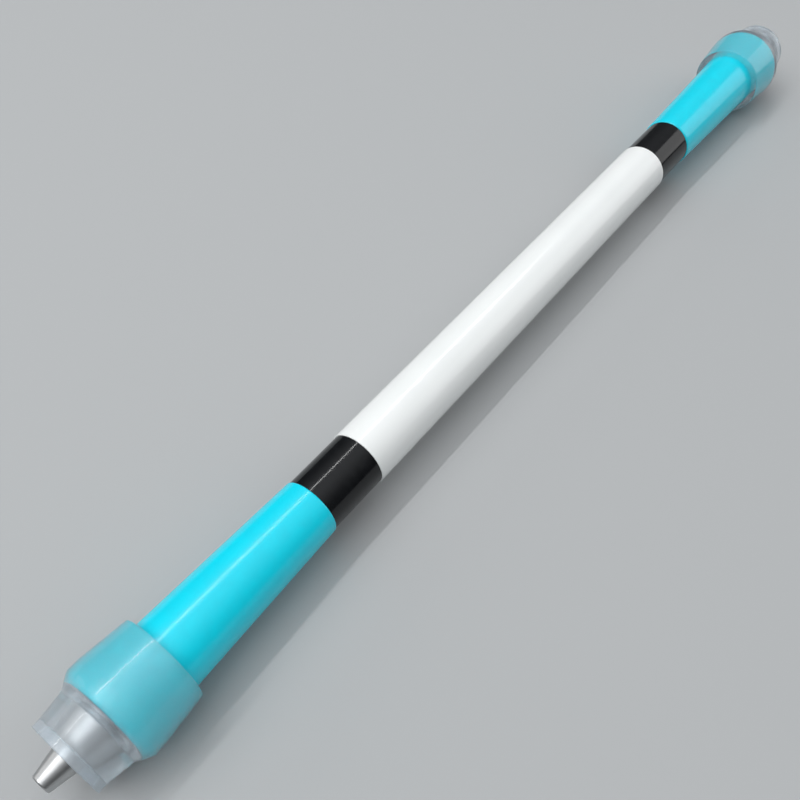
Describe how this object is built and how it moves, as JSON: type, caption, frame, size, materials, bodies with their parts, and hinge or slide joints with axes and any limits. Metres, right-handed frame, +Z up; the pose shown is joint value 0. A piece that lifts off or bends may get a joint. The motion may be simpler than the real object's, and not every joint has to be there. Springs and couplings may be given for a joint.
{
  "type": "spinning pen",
  "caption": "Balanced ballpoint pen for finger spinning: straight sleeved barrel, flared grips, metal nib cones and soft translucent end caps.",
  "frame": {"origin": "on the pen's axis, midway between the ends of the two nib cones, which is 0.5 mm from the centre of its bounding box because the writing point stands out at one end", "axes": "+X along the pen towards the writing end, +Z up, away from the table that the pen lies on, +Y across it"},
  "size_m": [0.213, 0.0156, 0.0156],
  "materials": {
    "white_plastic": "gloss moulded white ABS",
    "core_plastic": "extruded natural ABS tube",
    "black_plastic": "gloss black ABS",
    "cyan_plastic": "gloss moulded cyan ABS",
    "brass": "turned brass",
    "stop_plastic": "moulded grey polypropylene",
    "refill_plastic": "extruded translucent polypropylene",
    "ink": "oil based ink",
    "grease": "clear follower grease",
    "nickel_silver": "turned nickel silver",
    "carbide": "ground tungsten carbide",
    "steel": "turned stainless steel",
    "nib_metal": "turned and plated brass, bright",
    "ring_rubber": "moulded nitrile rubber",
    "cap_silicone": "moulded milky translucent silicone"
  },
  "bodies": {
    "pen": {"barrel_sleeve": "white_plastic", "core_tube": "core_plastic", "front_collar": "black_plastic", "rear_collar": "black_plastic", "front_grip": "cyan_plastic", "rear_grip": "cyan_plastic", "front_nib_bush": "core_plastic", "rear_nib_bush": "core_plastic", "front_weight": "brass", "rear_weight": "brass", "refill_stop": "stop_plastic"},
    "refill": {"refill_tube": "refill_plastic", "refill_ink": "ink", "ink_follower": "grease", "refill_point": "nickel_silver"},
    "ball": {"writing_ball": "carbide"},
    "front_nib": {"front_nib_cone": "nib_metal", "front_nib_ring": "ring_rubber"},
    "front_cap": {"front_end_cap": "cap_silicone"},
    "rear_pin": {"rear_balance_pin": "steel"},
    "rear_nib": {"rear_nib_cone": "nib_metal", "rear_nib_ring": "ring_rubber"},
    "rear_cap": {"rear_end_cap": "cap_silicone"}
  },
  "joints": [
    {"name": "front_refill_slide", "type": "slide", "parent": "pen", "child": "refill", "axis": [1, 0, 0], "range_m": [0, 0.00451]},
    {"name": "ball_roll", "type": "hinge", "parent": "refill", "child": "ball", "pos_m": [0.1067, 0, 0], "axis": [0, 1, 0], "continuous": true},
    {"name": "front_nib_turn", "type": "hinge", "parent": "refill", "child": "front_nib", "pos_m": [0.1, 0, 0], "axis": [1, 0, 0], "range_deg": [0, 2160]},
    {"name": "front_cap_pull", "type": "slide", "parent": "front_nib", "child": "front_cap", "axis": [1, 0, 0], "range_m": [0, 0.024]},
    {"name": "rear_pin_slide", "type": "slide", "parent": "pen", "child": "rear_pin", "axis": [-1, 0, 0], "range_m": [0, 0.00451]},
    {"name": "rear_nib_turn", "type": "hinge", "parent": "rear_pin", "child": "rear_nib", "pos_m": [-0.1, 0, 0], "axis": [-1, 0, 0], "range_deg": [0, 2160]},
    {"name": "rear_cap_pull", "type": "slide", "parent": "rear_nib", "child": "rear_cap", "axis": [-1, 0, 0], "range_m": [0, 0.024]}
  ],
  "couplings": [
    {"joint": "front_refill_slide", "follows": "front_nib_turn", "m_per_rad": 0.00011937},
    {"joint": "rear_pin_slide", "follows": "rear_nib_turn", "m_per_rad": 0.00011937}
  ]
}
